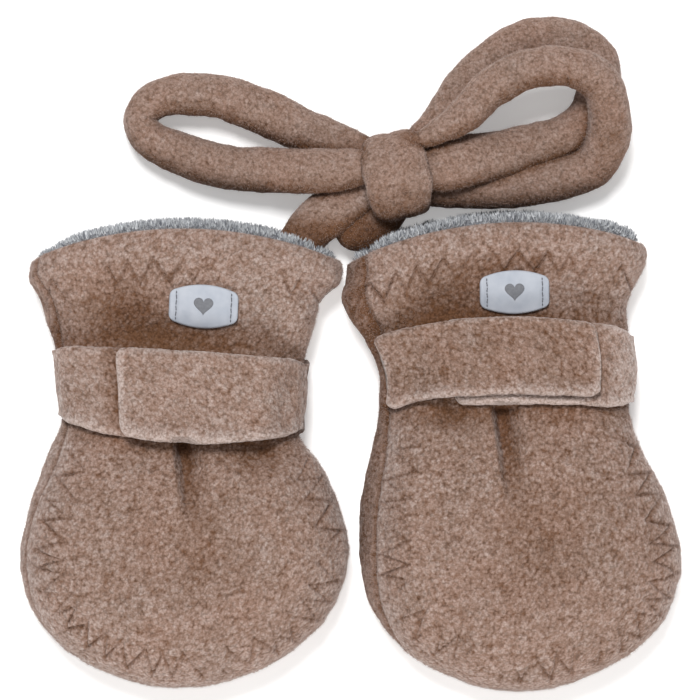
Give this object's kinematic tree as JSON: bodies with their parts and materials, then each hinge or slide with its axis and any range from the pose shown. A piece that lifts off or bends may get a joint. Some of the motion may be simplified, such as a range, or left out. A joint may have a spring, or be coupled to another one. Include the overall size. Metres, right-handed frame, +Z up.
{
  "type": "pair of baby mittens",
  "caption": "Thumbless fleece baby mittens with plush lining, wrist straps and a joining cord folded into loops and bound.",
  "frame": {"origin": "on the table under the middle of the two mittens, the cord left out", "axes": "+Z up from the table, +Y from the finger tips towards the cuffs, +X from the left mitten to the right one, palms of the mittens up"},
  "size_m": [0.1981, 0.2019, 0.0316],
  "materials": {
    "fleece": "brushed fleece, matt, with a pebbly nap",
    "plush": "short grey plush pile",
    "label_tape": "smooth woven tape"
  },
  "bodies": {
    "root": {"left_front_panel": "fleece", "left_back_panel": "fleece", "left_strap_band": "fleece", "left_strap_flap": "fleece", "left_lining_front": "plush", "left_lining_back": "plush", "left_label": "label_tape", "right_front_panel": "fleece", "right_back_panel": "fleece", "right_strap_band": "fleece", "right_strap_flap": "fleece", "right_lining_front": "plush", "right_lining_back": "plush", "right_label": "label_tape", "cord_loop_left": "fleece", "cord_loop_low": "fleece", "cord_loop_high": "fleece", "cord_tail_left": "fleece", "cord_tail_right": "fleece", "cord_knot": "fleece"}
  },
  "joints": []
}
